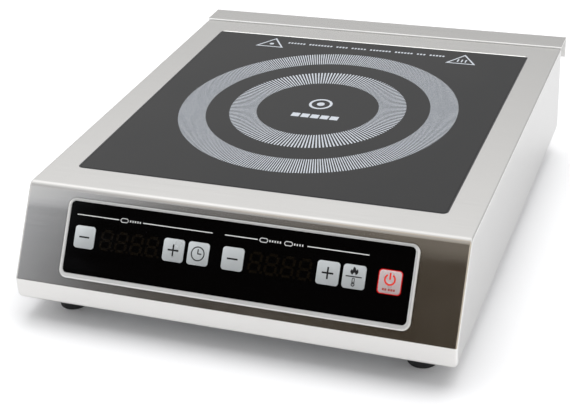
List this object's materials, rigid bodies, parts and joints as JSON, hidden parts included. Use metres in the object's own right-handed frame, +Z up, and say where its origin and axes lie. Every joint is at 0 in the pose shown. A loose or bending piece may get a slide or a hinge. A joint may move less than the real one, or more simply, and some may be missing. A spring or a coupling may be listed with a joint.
{
  "type": "countertop induction hob",
  "caption": "Low stainless steel countertop induction hob with a square glass cooking surface, a sloped key panel and rubber feet.",
  "frame": {"origin": "centre of the bounding box's base, on the plane the feet stand on", "axes": "+Z up; +Y from the control panel at the front towards the cable entry at the back; +X to the right seen from the front"},
  "size_m": [0.33, 0.3982, 0.0942],
  "materials": {
    "aluminium_extrusion": "extruded aluminium",
    "bezel_satin": "satin silver plated plastic",
    "black_plastic": "moulded, fine grain",
    "board_green": "coated glass-fibre circuit board",
    "brass_plated": "turned brass",
    "brushed_stainless": "brushed stainless sheet, grain along X",
    "capacitor_box": "boxed film capacitor",
    "chip_black": "moulded epoxy",
    "copper_litz": "varnished stranded copper",
    "display_grey": "potted LED module",
    "ferrite_grey": "sintered ferrite",
    "foot_rubber": "moulded rubber",
    "galvanised_steel": "galvanised sheet",
    "gland_nylon": "moulded nylon",
    "glass_ceramic": "polished dark glass-ceramic with printed rings",
    "grey_plastic": "moulded",
    "key_silver": "glossy silver keycap with a printed symbol",
    "lead_silicone": "silicone sleeved lead",
    "lens_clear": "clear indicator lens",
    "light_red": "translucent red light guide",
    "mica": "pressed mica",
    "seal_silicone": "matte silicone",
    "stainless_fastener": "stainless screw",
    "window_black": "back-printed gloss black window",
    "zinc_plated": "bright zinc plated"
  },
  "bodies": {
    "housing": {"base_tray": "galvanised_steel", "board_screws": "stainless_fastener", "board_standoffs": "zinc_plated", "buzzer": "black_plastic", "cable_gland": "gland_nylon", "casing_screws": "stainless_fastener", "coil_carrier": "grey_plastic", "coil_leads": "lead_silicone", "coil_nuts": "zinc_plated", "coil_posts": "zinc_plated", "coil_springs": "zinc_plated", "coil_terminals": "brass_plated", "coil_winding": "copper_litz", "control_board": "board_green", "control_chips": "chip_black", "digit_displays": "display_grey", "fan_frames": "black_plastic", "fan_screws": "stainless_fastener", "fan_stators": "copper_litz", "feet": "foot_rubber", "ferrite_bars": "ferrite_grey", "filter_capacitors": "capacitor_box", "filter_choke": "copper_litz", "foot_nuts": "zinc_plated", "foot_screws": "stainless_fastener", "fuse_and_relay": "grey_plastic", "gland_locknut": "gland_nylon", "glass_plate": "glass_ceramic", "glass_seal": "seal_silicone", "glass_support_frame": "galvanised_steel", "heat_sink": "aluminium_extrusion", "indicator_lenses": "lens_clear", "key_switches": "black_plastic", "main_board": "board_green", "mains_terminal": "grey_plastic", "mica_sheet": "mica", "on_off_light_ring": "light_red", "panel_bezel": "bezel_satin", "panel_overlay": "window_black", "power_semiconductors": "chip_black", "rear_lip": "brushed_stainless", "rear_panel": "brushed_stainless", "resonant_capacitors": "capacitor_box", "ribbon_cable": "grey_plastic", "ribbon_sockets": "grey_plastic", "signal_leads": "lead_silicone", "standby_transformer": "black_plastic", "thermistor": "grey_plastic", "top_casing": "brushed_stainless"},
    "key_function_button": {"key_function": "key_silver"},
    "key_on_off_button": {"key_on_off": "key_silver"},
    "key_power_minus_button": {"key_power_minus": "key_silver"},
    "key_power_plus_button": {"key_power_plus": "key_silver"},
    "key_timer_minus_button": {"key_timer_minus": "key_silver"},
    "key_timer_mode_button": {"key_timer_mode": "key_silver"},
    "key_timer_plus_button": {"key_timer_plus": "key_silver"},
    "fan_left": {"fan_rotor_left": "black_plastic", "fan_shaft_left": "stainless_fastener"},
    "fan_right": {"fan_rotor_right": "black_plastic", "fan_shaft_right": "stainless_fastener"}
  },
  "joints": [
    {"name": "key_function_press", "type": "slide", "parent": "housing", "child": "key_function_button", "axis": [0, 0.8393, -0.5437], "range_m": [0, 0.0005], "stiffness_N_per_m": 3000},
    {"name": "key_on_off_press", "type": "slide", "parent": "housing", "child": "key_on_off_button", "axis": [0, 0.8393, -0.5437], "range_m": [0, 0.0005], "stiffness_N_per_m": 3000},
    {"name": "key_power_minus_press", "type": "slide", "parent": "housing", "child": "key_power_minus_button", "axis": [0, 0.8393, -0.5437], "range_m": [0, 0.0005], "stiffness_N_per_m": 3000},
    {"name": "key_power_plus_press", "type": "slide", "parent": "housing", "child": "key_power_plus_button", "axis": [0, 0.8393, -0.5437], "range_m": [0, 0.0005], "stiffness_N_per_m": 3000},
    {"name": "key_timer_minus_press", "type": "slide", "parent": "housing", "child": "key_timer_minus_button", "axis": [0, 0.8393, -0.5437], "range_m": [0, 0.0005], "stiffness_N_per_m": 3000},
    {"name": "key_timer_mode_press", "type": "slide", "parent": "housing", "child": "key_timer_mode_button", "axis": [0, 0.8393, -0.5437], "range_m": [0, 0.0005], "stiffness_N_per_m": 3000},
    {"name": "key_timer_plus_press", "type": "slide", "parent": "housing", "child": "key_timer_plus_button", "axis": [0, 0.8393, -0.5437], "range_m": [0, 0.0005], "stiffness_N_per_m": 3000},
    {"name": "fan_left_spin", "type": "hinge", "parent": "housing", "child": "fan_left", "pos_m": [-0.064, -0.12, 0.0315], "axis": [0, 0, 1], "continuous": true},
    {"name": "fan_right_spin", "type": "hinge", "parent": "housing", "child": "fan_right", "pos_m": [0.064, -0.12, 0.0315], "axis": [0, 0, 1], "continuous": true}
  ]
}
